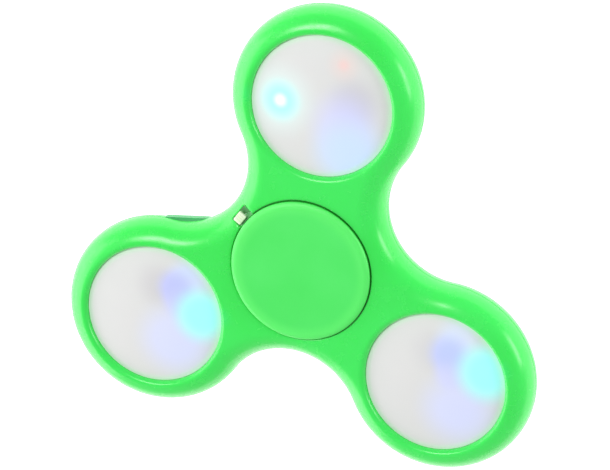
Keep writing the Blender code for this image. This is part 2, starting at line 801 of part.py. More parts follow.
clear_scene()
PARTS = make_collection("fidget_spinner")
CUTTERS = make_collection("fidget_spinner_cutters")
build()
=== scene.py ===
import math
import bmesh
import bpy
from mathutils import Matrix, Vector
from mathutils.geometry import delaunay_2d_cdt


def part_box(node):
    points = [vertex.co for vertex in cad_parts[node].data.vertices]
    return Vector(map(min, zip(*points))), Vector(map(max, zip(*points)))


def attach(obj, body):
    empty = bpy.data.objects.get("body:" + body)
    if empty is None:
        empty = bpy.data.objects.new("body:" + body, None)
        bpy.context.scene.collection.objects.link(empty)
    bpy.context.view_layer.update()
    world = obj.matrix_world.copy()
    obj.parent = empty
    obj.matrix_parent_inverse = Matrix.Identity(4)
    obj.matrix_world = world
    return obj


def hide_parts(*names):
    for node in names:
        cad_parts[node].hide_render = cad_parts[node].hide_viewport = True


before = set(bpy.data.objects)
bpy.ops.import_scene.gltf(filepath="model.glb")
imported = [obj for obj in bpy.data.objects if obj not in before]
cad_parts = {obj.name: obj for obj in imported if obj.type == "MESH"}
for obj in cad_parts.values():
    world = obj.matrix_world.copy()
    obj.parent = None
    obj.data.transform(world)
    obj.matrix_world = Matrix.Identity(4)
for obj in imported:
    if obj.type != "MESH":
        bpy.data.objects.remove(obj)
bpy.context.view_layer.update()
mm = 0.001


# Places read from the frame

def middleOf(node):
    low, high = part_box(node)
    return (low + high) / 2


lobeNames = ["top", "left", "right"]
partingHeight = (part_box("front_shell")[0].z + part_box("back_shell")[1].z) / 2
lensCentres = {lobe: middleOf("front_lens_" + lobe) for lobe in lobeNames}
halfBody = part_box("front_shell")[1].z - partingHeight
lobeReach = lensCentres["top"].y
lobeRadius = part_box("front_shell")[1].y - lobeReach
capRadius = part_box("front_cap")[1].y
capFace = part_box("front_cap")[1].z - partingHeight
switchCentre = middleOf("switch_housing")
switchAngle = math.atan2(switchCentre.y, switchCentre.x)


# Tools

def polar(radius, angle, height=0.0):
    return Vector((radius * math.cos(angle), radius * math.sin(angle), height))


meshing = {"weld": 0.0005 * mm, "sharpAngle": 40.0}


def addMesh(name, verts, faces, material):
    mesh = bpy.data.meshes.new(name)
    mesh.from_pydata([tuple(v) for v in verts], [], faces)
    form = bmesh.new()
    form.from_mesh(mesh)
    bmesh.ops.remove_doubles(form, verts=form.verts, dist=meshing["weld"])
    bmesh.ops.recalc_face_normals(form, faces=form.faces)
    if form.calc_volume(signed=True) < 0:
        bmesh.ops.reverse_faces(form, faces=form.faces)
    form.to_mesh(mesh)
    form.free()
    return placeMesh(name, mesh, material)


def placeMesh(name, mesh, material):
    piece = bpy.data.objects.new(name, mesh)
    bpy.context.scene.collection.objects.link(piece)
    mesh.materials.clear()
    mesh.materials.append(material)
    shadeMesh(mesh)
    return piece


def shadeMesh(mesh):
    # smooth over gentle angles, crisp at the others
    mesh.shade_smooth()
    mesh.set_sharp_from_angle(angle=math.radians(meshing["sharpAngle"]))


def settle(piece):
    # takes the modifiers' result as the mesh, with the piece's place in it
    bpy.context.view_layer.update()
    evaluated = piece.evaluated_get(bpy.context.evaluated_depsgraph_get())
    mesh = bpy.data.meshes.new_from_object(evaluated)
    mesh.transform(piece.matrix_world)
    piece.modifiers.clear()
    piece.data = mesh
    piece.matrix_world = Matrix.Identity(4)
    shadeMesh(mesh)


def cutWith(piece, cutters, operation="DIFFERENCE"):
    for cutter in cutters:
        change = piece.modifiers.new("cut", "BOOLEAN")
        change.operation = operation
        change.object = cutter
        change.material_mode = "TRANSFER"
    settle(piece)
    for cutter in cutters:
        bpy.data.objects.remove(cutter)
    return piece


def mount(piece, body, slot, *nodes):
    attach(piece, body)
    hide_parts(*nodes)


def revolve(name, profile, centre, material, steps):
    # turns (radius, height) points round the upright line through centre; the first and last are on it
    count = len(profile)
    verts = [centre + polar(radius, math.radians(360.0 * i / steps), height)
             for i in range(steps) for radius, height in profile]
    faces = []
    for i in range(steps):
        near, far = i * count, ((i + 1) % steps) * count
        faces += [(near + j, near + j + 1, far + j + 1, far + j) for j in range(count - 1)]
    return addMesh(name, verts, faces, material)


def flipped(profile, side):
    return [(radius, side * height) for radius, height in profile]


def roundCorner(radius, height, wide, tall, steps):
    # a quarter ellipse from the flat above (radius - wide) to the side wall at radius
    turns = [math.radians(90.0 * i / steps) for i in range(steps + 1)]
    return [(radius - wide * (1 - math.sin(turn)), height - tall * (1 - math.cos(turn))) for turn in turns]


def block(name, size, centre, angle, material, bevel=0.0, segments=3):
    form = bmesh.new()
    bmesh.ops.create_cube(form, size=1.0)
    bmesh.ops.scale(form, vec=Vector(size), verts=form.verts)
    if bevel:
        bmesh.ops.bevel(form, geom=form.edges[:], offset=bevel, segments=segments, profile=0.5,
                        affect="EDGES")
    bmesh.ops.rotate(form, cent=(0, 0, 0), matrix=Matrix.Rotation(angle, 3, "Z"), verts=form.verts)
    bmesh.ops.translate(form, vec=centre, verts=form.verts)
    mesh = bpy.data.meshes.new(name)
    form.to_mesh(mesh)
    form.free()
    return placeMesh(name, mesh, material)


def makeRepeater():
    # geometry nodes: one copy of a piece at each point of the mesh, given a material
    group = bpy.data.node_groups.new("repeatPiece", "GeometryNodeTree")
    for title, kind in (("Points", "Geometry"), ("Piece", "Object"), ("Material", "Material")):
        group.interface.new_socket(title, in_out="INPUT", socket_type="NodeSocket" + kind)
    group.interface.new_socket("Copies", in_out="OUTPUT", socket_type="NodeSocketGeometry")
    source, result = group.nodes.new("NodeGroupInput"), group.nodes.new("NodeGroupOutput")
    piece = group.nodes.new("GeometryNodeObjectInfo")
    copies = group.nodes.new("GeometryNodeInstanceOnPoints")
    realized = group.nodes.new("GeometryNodeRealizeInstances")
    painted = group.nodes.new("GeometryNodeSetMaterial")
    group.links.new(source.outputs["Piece"], piece.inputs["Object"])
    group.links.new(source.outputs["Points"], copies.inputs["Points"])
    group.links.new(piece.outputs["Geometry"], copies.inputs["Instance"])
    group.links.new(copies.outputs["Instances"], realized.inputs["Geometry"])
    group.links.new(realized.outputs["Geometry"], painted.inputs["Geometry"])
    group.links.new(source.outputs["Material"], painted.inputs["Material"])
    group.links.new(painted.outputs["Geometry"], result.inputs["Copies"])
    return group


def bakeRepeat(name, piece, spots, material):
    mesh = bpy.data.meshes.new(name)
    mesh.from_pydata([tuple(spot) for spot in spots], [], [])
    copies = bpy.data.objects.new(name, mesh)
    bpy.context.scene.collection.objects.link(copies)
    repeat = copies.modifiers.new("repeat", "NODES")
    repeat.node_group = repeater
    sockets = {item.name: item.identifier for item in repeater.interface.items_tree if item.in_out == "INPUT"}
    repeat[sockets["Piece"]] = piece
    repeat[sockets["Material"]] = material
    settle(copies)
    bpy.data.objects.remove(piece)
    return copies


repeater = makeRepeater()


# Shader node groups, shared by the materials

def newGroup(name, inputs, outputs):
    group = bpy.data.node_groups.new(name, "ShaderNodeTree")
    for title, kind, value in inputs:
        socket = group.interface.new_socket(title, in_out="INPUT", socket_type="NodeSocket" + kind)
        if value is not None:
            socket.default_value = value
    for title, kind in outputs:
        group.interface.new_socket(title, in_out="OUTPUT", socket_type="NodeSocket" + kind)
    return group, group.nodes.new("NodeGroupInput"), group.nodes.new("NodeGroupOutput")


def mathNode(tree, operation, *values):
    node = tree.nodes.new("ShaderNodeMath")
    node.operation = operation
    for socket, value in zip(node.inputs, values):
        if isinstance(value, (int, float)):
            socket.default_value = value
        else:
            tree.links.new(value, socket)
    return node.outputs[0]


def rangeNode(tree, value, fromLow, fromHigh, toLow, toHigh, kind="LINEAR"):
    node = tree.nodes.new("ShaderNodeMapRange")
    node.interpolation_type = kind
    for title, entry in (
        ("Value", value), ("From Min", fromLow), ("From Max", fromHigh), ("To Min", toLow), ("To Max", toHigh)
    ):
        if isinstance(entry, (int, float)):
            node.inputs[title].default_value = entry
        else:
            tree.links.new(entry, node.inputs[title])
    return node.outputs["Result"]


def noiseNode(tree, place, scale, detail=2.0, roughness=0.5):
    node = tree.nodes.new("ShaderNodeTexNoise")
    node.inputs["Detail"].default_value = detail
    node.inputs["Roughness"].default_value = roughness
    tree.links.new(place, node.inputs["Vector"])
    if isinstance(scale, (int, float)):
        node.inputs["Scale"].default_value = scale
    else:
        tree.links.new(scale, node.inputs["Scale"])
    return node.outputs["Fac"]


def mixColour(tree, factor, first, second):
    node = tree.nodes.new("ShaderNodeMix")
    node.data_type = "RGBA"
    for socket, value in ((node.inputs[0], factor), (node.inputs[6], first), (node.inputs[7], second)):
        if isinstance(value, (int, float)):
            socket.default_value = value
        elif isinstance(value, tuple):
            socket.default_value = (*value, 1.0)
        else:
            tree.links.new(value, socket)
    return node.outputs[2]


skinNoise = {
    "grainDetail": 3.0, "grainRoughness": 0.6, "smearScale": 420.0, "smearDetail": 4.0,
    "smearRoughness": 0.65, "markLow": 0.52, "markHigh": 0.68,
}


def makeMouldedSkin():
    # moulded plastic: a fine spark-eroded grain, slow colour drift and handling marks
    group, source, result = newGroup(
        "mouldedSkin",
        [("Place", "Vector", None), ("Grain Scale", "Float", 9000.0), ("Drift Scale", "Float", 90.0)],
        [("Height", "Float"), ("Drift", "Float"), ("Marks", "Float")],
    )
    place = source.outputs["Place"]
    grain = noiseNode(group, place, source.outputs["Grain Scale"], skinNoise["grainDetail"],
                      skinNoise["grainRoughness"])
    drift = noiseNode(group, place, source.outputs["Drift Scale"])
    smear = noiseNode(group, place, skinNoise["smearScale"], skinNoise["smearDetail"],
                      skinNoise["smearRoughness"])
    marks = rangeNode(group, smear, skinNoise["markLow"], skinNoise["markHigh"], 0.0, 1.0, "SMOOTHSTEP")
    group.links.new(grain, result.inputs["Height"])
    group.links.new(drift, result.inputs["Drift"])
    group.links.new(marks, result.inputs["Marks"])
    return group


def makeSoftSpot():
    # a round patch that fades out from its centre
    group, source, result = newGroup(
        "softSpot",
        [("Place", "Vector", None), ("Centre", "Vector", (0, 0, 0)), ("Stretch", "Vector", (1, 1, 1)),
         ("Radius", "Float", 0.003), ("Core", "Float", 0.0), ("Amount", "Float", 1.0)],
        [("Mask", "Float")],
    )
    away, scaled, gap = [group.nodes.new("ShaderNodeVectorMath") for i in range(3)]
    for node, operation in ((away, "SUBTRACT"), (scaled, "MULTIPLY"), (gap, "LENGTH")):
        node.operation = operation
    group.links.new(source.outputs["Place"], away.inputs[0])
    group.links.new(source.outputs["Centre"], away.inputs[1])
    group.links.new(away.outputs[0], scaled.inputs[0])
    group.links.new(source.outputs["Stretch"], scaled.inputs[1])
    group.links.new(scaled.outputs[0], gap.inputs[0])
    fade = rangeNode(
        group, gap.outputs["Value"], source.outputs["Core"], source.outputs["Radius"],
        source.outputs["Amount"], 0.0, "SMOOTHERSTEP",
    )
    group.links.new(fade, result.inputs["Mask"])
    return group


patchNoise = {"scale": 500.0, "detail": 3.0}


def makeTurnedMetal():
    # fine rings left by a lathe or grinder round the spin axis of the piece, and dulled patches
    group, source, result = newGroup(
        "turnedMetal",
        [("Place", "Vector", None), ("Pitch", "Float", 9000.0)],
        [("Height", "Float"), ("Patches", "Float")],
    )
    flat = group.nodes.new("ShaderNodeVectorMath")
    flat.operation = "MULTIPLY"
    flat.inputs[1].default_value = (1.0, 1.0, 0.0)
    group.links.new(source.outputs["Place"], flat.inputs[0])
    length = group.nodes.new("ShaderNodeVectorMath")
    length.operation = "LENGTH"
    group.links.new(flat.outputs[0], length.inputs[0])
    split = group.nodes.new("ShaderNodeSeparateXYZ")
    group.links.new(source.outputs["Place"], split.inputs[0])
    rings = group.nodes.new("ShaderNodeCombineXYZ")
    group.links.new(length.outputs["Value"], rings.inputs[0])
    group.links.new(split.outputs["Z"], rings.inputs[2])
    lines = noiseNode(group, rings.outputs[0], source.outputs["Pitch"])
    patches = noiseNode(group, source.outputs["Place"], patchNoise["scale"], patchNoise["detail"])
    group.links.new(lines, result.inputs["Height"])
    group.links.new(patches, result.inputs["Patches"])
    return group


mouldedSkin = makeMouldedSkin()
softSpot = makeSoftSpot()
turnedMetal = makeTurnedMetal()


# Materials

def newMaterial(name):
    material = bpy.data.materials.new(name)
    material.use_nodes = True
    tree = material.node_tree
    shader = tree.nodes["Principled BSDF"]
    place = tree.nodes.new("ShaderNodeTexCoord").outputs["Object"]
    return material, tree, shader, place


def useGroup(tree, group, place, **values):
    node = tree.nodes.new("ShaderNodeGroup")
    node.node_tree = group
    tree.links.new(place, node.inputs["Place"])
    for title, value in values.items():
        node.inputs[title.replace("_", " ")].default_value = value
    return node


def addBump(tree, shader, height, strength, distance):
    bump = tree.nodes.new("ShaderNodeBump")
    bump.inputs["Strength"].default_value = strength
    bump.inputs["Distance"].default_value = distance
    tree.links.new(height, bump.inputs["Height"])
    tree.links.new(bump.outputs["Normal"], shader.inputs["Normal"])


plasticFinish = {
    "driftLow": 0.35, "driftHigh": 0.65, "bumpDistance": 0.02 * mm, "sheenRoughness": 0.5,
    "subsurfaceRadius": (0.3, 1.0, 0.4), "subsurfaceScale": 0.8 * mm,
}
metalFinish = {"patchLow": 0.3, "patchHigh": 0.7, "bumpDistance": 0.01 * mm}


def plasticMaterial(name, look):
    # moulded plastic whose two tones drift into each other, duller where it is handled
    material, tree, shader, place = newMaterial(name)
    skin = useGroup(tree, mouldedSkin, place, Grain_Scale=look["grainScale"], Drift_Scale=look["driftScale"])
    blend = rangeNode(tree, skin.outputs["Drift"], plasticFinish["driftLow"], plasticFinish["driftHigh"],
                      0.0, 1.0, "SMOOTHSTEP")
    colour = mixColour(tree, blend, look["colour"], look["otherColour"])
    # the spots paint patches of light and shade into the colour
    for spot in look.get("spots", []):
        mask = useGroup(
            tree, softSpot, place, Centre=spot["centre"], Radius=spot["radius"], Core=spot["core"],
            Amount=spot["amount"], Stretch=spot.get("stretch", (1.0, 1.0, 1.0)),
        ).outputs["Mask"]
        if spot.get("outside"):
            mask = mathNode(tree, "SUBTRACT", spot["amount"], mask)
        colour = mixColour(tree, mask, colour, spot["colour"])
    tree.links.new(colour, shader.inputs["Base Color"])
    rough = rangeNode(tree, skin.outputs["Marks"], 0.0, 1.0, look["roughness"], look["markRoughness"])
    tree.links.new(rough, shader.inputs["Roughness"])
    shader.inputs["Subsurface Weight"].default_value = look.get("subsurface", 0.0)
    shader.inputs["Subsurface Radius"].default_value = plasticFinish["subsurfaceRadius"]
    shader.inputs["Subsurface Scale"].default_value = plasticFinish["subsurfaceScale"]
    shader.inputs["Sheen Weight"].default_value = look.get("sheen", 0.0)
    shader.inputs["Sheen Roughness"].default_value = plasticFinish["sheenRoughness"]
    shader.inputs["Emission Color"].default_value = (1.0, 1.0, 1.0, 1.0)
    shader.inputs["Emission Strength"].default_value = look.get("glow", 0.0)
    addBump(tree, shader, skin.outputs["Height"], look["bump"], plasticFinish["bumpDistance"])
    return material


def metalMaterial(name, look):
    material, tree, shader, place = newMaterial(name)
    skin = useGroup(tree, turnedMetal, place, Pitch=look["pitch"])
    colour = mixColour(tree, skin.outputs["Patches"], look["colour"], look["otherColour"])
    tree.links.new(colour, shader.inputs["Base Color"])
    rough = rangeNode(tree, skin.outputs["Patches"], metalFinish["patchLow"], metalFinish["patchHigh"],
                      look["roughness"], look["otherRoughness"])
    tree.links.new(rough, shader.inputs["Roughness"])
    shader.inputs["Metallic"].default_value = 1.0
    addBump(tree, shader, skin.outputs["Height"], look["bump"], metalFinish["bumpDistance"])
    return material


# Painted light and shade on each lens: the glow of the lobe's lights as coloured patches, and a grey patch of
# painted shade where the chip behind the lens lies; place from the middle of the lens, in mm

paintedLensLightAndShade = {
    "top": [
        {"at": (5.1, 1.7), "radius": 5.8, "core": 0.3, "amount": 0.50, "colour": (0.50, 0.48, 0.58)},
        {"at": (2.8, 7.2), "radius": 3.6, "core": 0.2, "amount": 0.45, "colour": (0.86, 0.64, 0.60)},
        {"at": (2.8, 7.2), "radius": 1.5, "core": 0.1, "amount": 0.55, "colour": (0.92, 0.58, 0.56)},
        {"at": (4.0, -1.8), "radius": 7.4, "core": 0.5, "amount": 0.66, "colour": (0.58, 0.60, 0.93)},
        {"at": (5.2, -6.4), "radius": 8.2, "core": 1.0, "amount": 0.80, "colour": (0.53, 0.69, 0.97)},
        {"at": (-6.2, -0.2), "radius": 7.6, "core": 0.5, "amount": 0.50, "colour": (0.68, 0.92, 0.88)},
        {"at": (-6.2, -0.2), "radius": 4.3, "core": 0.7, "amount": 1.0, "colour": (0.38, 0.93, 0.89)},
        {"at": (-6.2, -0.2), "radius": 1.7, "core": 0.1, "amount": 1.0, "colour": (0.90, 0.96, 0.95)},
    ],
    "left": [
        {"at": (0.6, 5.2), "radius": 5.4, "core": 0.3, "amount": 0.45, "colour": (0.52, 0.50, 0.54)},
        {"at": (4.2, -3.2), "radius": 8.6, "core": 1.0, "amount": 0.72, "colour": (0.60, 0.65, 0.96)},
        {"at": (5.4, 7.4), "radius": 5.0, "core": 0.6, "amount": 0.65, "colour": (0.56, 0.68, 0.97)},
        {"at": (3.3, 5.4), "radius": 4.3, "core": 0.4, "amount": 0.85, "colour": (0.44, 0.48, 0.96)},
        {"at": (4.0, 3.0), "radius": 3.8, "core": 0.4, "amount": 0.60, "colour": (0.50, 0.55, 0.96)},
        {"at": (7.9, 1.8), "radius": 6.0, "core": 1.4, "amount": 1.0, "colour": (0.34, 0.93, 0.91)},
    ],
    "right": [
        {"at": (-0.6, 5.2), "radius": 5.2, "core": 0.3, "amount": 0.30, "colour": (0.54, 0.53, 0.58)},
        {"at": (4.4, -3.4), "radius": 8.6, "core": 1.0, "amount": 0.72, "colour": (0.60, 0.65, 0.96)},
        {"at": (2.8, 8.0), "radius": 5.0, "core": 0.6, "amount": 0.55, "colour": (0.60, 0.72, 0.96)},
        {"at": (1.8, 5.2), "radius": 4.6, "core": 0.5, "amount": 0.85, "colour": (0.44, 0.52, 0.96)},
        {"at": (2.2, 2.0), "radius": 3.6, "core": 0.4, "amount": 0.55, "colour": (0.54, 0.58, 0.96)},
        {"at": (7.9, 3.6), "radius": 6.4, "core": 1.6, "amount": 1.0, "colour": (0.34, 0.93, 0.91)},
    ],
}
lensLook = {
    "colour": (0.68, 0.69, 0.68),
    "otherColour": (0.70, 0.695, 0.69),
    "paintedRimGreen": (0.56, 0.86, 0.60),
    "rimStart": 9.6,
    "rimEnd": 11.1,
    "rimAmount": 0.6,
    "grainScale": 6000.0,
    "driftScale": 160.0,
    "roughness": 0.42,
    "markRoughness": 0.52,
    "bump": 0.15,
    # painted glow: the lens gives off a little light where its bluest patches lie
    "glow": 0.12,
    "litBlue": 0.8,              # spots with more blue than this shine a little of their own
}


def lensMaterial(name, lobe, side):
    # frosted diffuser: the glow of the lights behind it is painted as soft patches, and green light from the
    # shell is painted on its rim
    material, tree, shader, place = newMaterial(name)
    centre = Vector((lensCentres[lobe].x, lensCentres[lobe].y, partingHeight + side * halfBody))
    skin = useGroup(tree, mouldedSkin, place, Grain_Scale=lensLook["grainScale"],
                    Drift_Scale=lensLook["driftScale"])
    colour = mixColour(tree, skin.outputs["Drift"], lensLook["colour"], lensLook["otherColour"])
    rim = useGroup(
        tree, softSpot, place, Centre=centre, Radius=lensLook["rimEnd"] * mm,
        Core=lensLook["rimStart"] * mm, Amount=1.0,
    ).outputs["Mask"]
    # painted glow: the bluest patches also colour the light the lens gives off
    glow = (0.0, 0.0, 0.0)
    # painted light and shade: each patch is mixed into the colour of the lens
    for spot in paintedLensLightAndShade[lobe]:
        at = centre + Vector((*spot["at"], 0.0)) * mm
        mask = useGroup(
            tree, softSpot, place, Centre=at, Radius=spot["radius"] * mm, Core=spot["core"] * mm,
            Amount=spot["amount"],
        ).outputs["Mask"]
        colour = mixColour(tree, mask, colour, spot["colour"])
        if spot["colour"][2] > lensLook["litBlue"]:
            glow = mixColour(tree, mask, glow, spot["colour"])
    # painted light: green light from the shell, painted round the edge of the lens
    share = lensLook["rimAmount"]
    within = mathNode(tree, "MULTIPLY_ADD", rim, share, 1.0 - share)
    colour = mixColour(tree, within, lensLook["paintedRimGreen"], colour)
    tree.links.new(colour, shader.inputs["Base Color"])
    tree.links.new(glow, shader.inputs["Emission Color"])
    shader.inputs["Emission Strength"].default_value = lensLook["glow"]
    rough = rangeNode(tree, skin.outputs["Marks"], 0.0, 1.0, lensLook["roughness"],
                      lensLook["markRoughness"])
    tree.links.new(rough, shader.inputs["Roughness"])
    addBump(tree, shader, skin.outputs["Height"], lensLook["bump"], plasticFinish["bumpDistance"])
    return material


# painted light spilt from each lens onto the shell beside it
lightSpill = {"reach": 11.0, "height": 3.4, "radius": 3.2 * mm, "core": 0.3 * mm, "amount": 0.45,
              "colour": (0.03, 0.80, 0.32)}


def shellLightSpill():
    # painted light: the shell is tinted with a little of the colour of the light next to it
    spots = []
    for lobe in lobeNames:
        x, y = paintedLensLightAndShade[lobe][-1]["at"]
        rim = Vector((x, y, 0.0)).normalized() * lightSpill["reach"]
        spots.append({
            "centre": lensCentres[lobe] + Vector((rim.x, rim.y, lightSpill["height"])) * mm,
            "radius": lightSpill["radius"], "core": lightSpill["core"],
            "amount": lightSpill["amount"], "colour": lightSpill["colour"],
        })
    return spots


capGap = 0.17 * mm
# painted shade: dark green for the gap round the cap
gapShadeGreen = (0.002, 0.27, 0.008)
fromAxis = {"centre": (0.0, 0.0, 0.0), "stretch": (1.0, 1.0, 0.0)}    # counts distance from the spin axis
shellLook = {
    "colour": (0.030, 0.745, 0.080), "otherColour": (0.038, 0.775, 0.098),
    "grainScale": 14000.0, "driftScale": 60.0,
    "roughness": 0.25, "markRoughness": 0.31, "bump": 0.04, "subsurface": 0.25, "sheen": 0.25,
    "spots": shellLightSpill() + [
        # painted shade on the ledge in the gap round the cap
        {**fromAxis, "radius": capRadius + capGap, "core": capRadius + 0.10 * mm, "amount": 0.9,
         "colour": gapShadeGreen},
    ],
}
capLook = {
    "colour": (0.060, 0.745, 0.108), "otherColour": (0.073, 0.775, 0.127),
    "grainScale": 7000.0, "driftScale": 70.0,
    "roughness": 0.46, "markRoughness": 0.54, "bump": 0.22, "subsurface": 0.2,
    "spots": [
        # painted light: a lighter band round the rounded edge of the cap
        {**fromAxis, "radius": 10.4 * mm, "core": 8.2 * mm, "amount": 1.0, "colour": (0.092, 0.82, 0.135),
         "outside": True},
        # painted shade on the side of the cap, low down in the gap
        {"centre": (0.0, 0.0, partingHeight), "stretch": (0.0, 0.0, 1.0), "radius": 4.35 * mm,
         "core": 3.9 * mm, "amount": 0.9, "colour": gapShadeGreen},
    ],
}
# painted shade: the pry tab is a darker green than the shell
tabLook = {
    "colour": (0.05, 0.40, 0.13), "otherColour": (0.06, 0.43, 0.15),
    "grainScale": 9000.0, "driftScale": 300.0,
    "roughness": 0.4, "markRoughness": 0.5, "bump": 0.1,
}
knobLook = {
    "colour": (0.74, 0.88, 0.62), "otherColour": (0.80, 0.90, 0.70),
    "grainScale": 9000.0, "driftScale": 400.0,
    "roughness": 0.38, "markRoughness": 0.5, "bump": 0.1,
}
boardLook = {
    "colour": (0.70, 0.72, 0.70), "otherColour": (0.74, 0.75, 0.72),
    "grainScale": 5000.0, "driftScale": 300.0,
    "roughness": 0.4, "markRoughness": 0.5, "bump": 0.05,
}
blackLook = {
    "colour": (0.02, 0.02, 0.022), "otherColour": (0.03, 0.03, 0.03),
    "grainScale": 9000.0, "driftScale": 500.0,
    "roughness": 0.4, "markRoughness": 0.55, "bump": 0.15,
}
nylonLook = {
    "colour": (0.60, 0.52, 0.36), "otherColour": (0.66, 0.58, 0.42),
    "grainScale": 7000.0, "driftScale": 300.0,
    "roughness": 0.42, "markRoughness": 0.5, "bump": 0.1,
}
wireLook = {
    "colour": (0.5, 0.02, 0.02), "otherColour": (0.58, 0.04, 0.03),
    "grainScale": 9000.0, "driftScale": 500.0,
    "roughness": 0.4, "markRoughness": 0.5, "bump": 0.05,
}
raceSteelLook = {
    "colour": (0.60, 0.61, 0.63), "otherColour": (0.50, 0.50, 0.52), "pitch": 9000.0,
    "roughness": 0.16, "otherRoughness": 0.26, "bump": 0.1,
}
platedSteelLook = {
    "colour": (0.56, 0.56, 0.55), "otherColour": (0.44, 0.44, 0.45), "pitch": 5000.0,
    "roughness": 0.25, "otherRoughness": 0.4, "bump": 0.12,
}
ballSteelLook = {
    "colour": (0.70, 0.71, 0.73), "otherColour": (0.64, 0.65, 0.67), "pitch": 2000.0,
    "roughness": 0.06, "otherRoughness": 0.1, "bump": 0.02,
}


ledLook = {"grainScale": 4000.0, "driftScale": 900.0, "paler": 0.12, "glow": 1.5, "roughness": 0.25}


def ledMaterial(name, colour):
    material, tree, shader, place = newMaterial(name)
    skin = useGroup(tree, mouldedSkin, place, Grain_Scale=ledLook["grainScale"],
                    Drift_Scale=ledLook["driftScale"])
    paler = tuple(min(1.0, c + ledLook["paler"]) for c in colour)
    tone = mixColour(tree, skin.outputs["Drift"], colour, paler)
    tree.links.new(tone, shader.inputs["Base Color"])
    tree.links.new(tone, shader.inputs["Emission Color"])
    shader.inputs["Emission Strength"].default_value = ledLook["glow"]
    shader.inputs["Roughness"].default_value = ledLook["roughness"]
    return material


shellGreen = plasticMaterial("shellGreen", shellLook)
tabShadeGreen = plasticMaterial("tabShadeGreen", tabLook)
capGreen = plasticMaterial("capGreen", capLook)
knobWhite = plasticMaterial("knobWhite", knobLook)
boardWhite = plasticMaterial("boardWhite", boardLook)
chipBlack = plasticMaterial("chipBlack", blackLook)
nylonCage = plasticMaterial("nylonCage", nylonLook)
wireRed = plasticMaterial("wireRed", wireLook)
raceSteel = metalMaterial("raceSteel", raceSteelLook)
platedSteel = metalMaterial("platedSteel", platedSteelLook)
ballSteel = metalMaterial("ballSteel", ballSteelLook)
ledMaterials = {
    "green": ledMaterial("ledGreen", (0.2, 0.9, 0.85)),
    "red": ledMaterial("ledRed", (0.9, 0.3, 0.25)),
    "blue": ledMaterial("ledBlue", (0.25, 0.35, 0.95)),
}
print("materials made")


# Shells: lobes and waists are arcs, so every inset of the outline is the same arcs with other radii

shellShape = {
    "waistRadius": 11.01 * mm,
    "edge": 3.84 * mm,           # rounding of the side, nearly the half thickness
    "wall": 1.2 * mm,
    "lensHole": 10.88 * mm,
    "lipWidth": 0.9 * mm,        # rolled lip round each lens
    "lipDepth": 0.9 * mm,
    "recessRadius": capRadius + capGap,
    "recessLip": 0.2 * mm,
    "recessFloor": 3.66 * mm,    # top of a thin ledge over the edge of the bearing
    "ledgeRadius": 10.6 * mm,
    "seatRadius": 11.1 * mm,     # holds the bearing
    "seatStep": 3.53 * mm,
    "seam": 0.02 * mm,           # half the gap at the parting plane
    "seamChamfer": 0.11 * mm,
    "seamBend": 0.3,             # where the chamfer bends, as a share of it
    "lobePoints": 128,
    "waistPoints": 46,
    "lensPoints": 176,
    "hubPoints": 170,            # round the front recess, up to its notch
    "backHubPoints": 182,
    "ledgePoints": 180,
    "seatPoints": 120,
}
surfaceRows = {
    "tightest": 0.02 * mm,       # rows of points are never closer than this
    "sideSteps": 16,
    "lipSteps": 9,
    "recessSteps": 4,
    "lipClear": 1.05,            # rows of the side stop short of a lens lip, in lip widths
    "recessClear": 0.3 * mm,
    "lipOuter": 1.3,             # last row round a lens, in lip widths
    "recessOuter": 0.6 * mm,
    "slack": 0.0001 * mm,
    "almost": 0.9999,            # so that a face that ends on the ledge's edge counts as outside it
    "seamShare": 0.99,
}
notchAngle = switchAngle - math.radians(2.2)
notch = {"halfLength": 1.55 * mm, "outer": 12.8 * mm, "corner": 0.2 * mm, "floor": 3.0 * mm,
         "overlap": 4.0 * mm, "wallSteps": 5, "cornerSteps": 6, "endSteps": 4}
tangentReach = lobeRadius + shellShape["waistRadius"]
waistReach = (lobeReach + math.sqrt(lobeReach ** 2 - 4 * (lobeReach ** 2 - tangentReach ** 2))) / 2
lobeAngles = [math.atan2(lensCentres[lobe].y, lensCentres[lobe].x) for lobe in lobeNames]
lobeMiddles = [polar(lobeReach, angle) for angle in lobeAngles]
waistMiddles = [polar(waistReach, angle + math.radians(60)) for angle in lobeAngles]


def outlineLoop(inset):
    # lobe arcs and concave waist arcs, tangent to each other
    points = []
    for angle, lobe, waist in zip(lobeAngles, lobeMiddles, waistMiddles):
        joint = waist - lobe
        swing = (math.atan2(joint.y, joint.x) - angle) % (2 * math.pi)
        for i in range(shellShape["lobePoints"]):
            turn = angle - swing + 2 * swing * i / shellShape["lobePoints"]
            points.append(lobe + polar(lobeRadius - inset, turn))
        start = angle + swing + math.pi
        sweep = 2 * (swing - math.radians(60))
        for i in range(shellShape["waistPoints"]):
            turn = start - sweep * i / shellShape["waistPoints"]
            points.append(waist + polar(shellShape["waistRadius"] + inset, turn))
    return points


def depthInside(point):
    # distance in from the outline: positive inside the body
    flat = Vector((point.x, point.y, 0.0))
    waist = min(waistMiddles, key=lambda w: (flat - w).length)
    for lobe in lobeMiddles:
        joint, offset = waist - lobe, flat - lobe
        cross = joint.x * offset.y - joint.y * offset.x
        hubCross = joint.x * (-lobe.y) - joint.y * (-lobe.x)
        if joint.length < tangentReach + mm and cross * hubCross < 0:
            return lobeRadius - offset.length
    return (flat - waist).length - shellShape["waistRadius"]


def toNotch(point):
    # (along the slide, out from the axis) of a point, seen from the knob's notch
    turned = Matrix.Rotation(-notchAngle, 3, "Z") @ Vector((point.x, point.y, 0.0))
    return -turned.y, turned.x


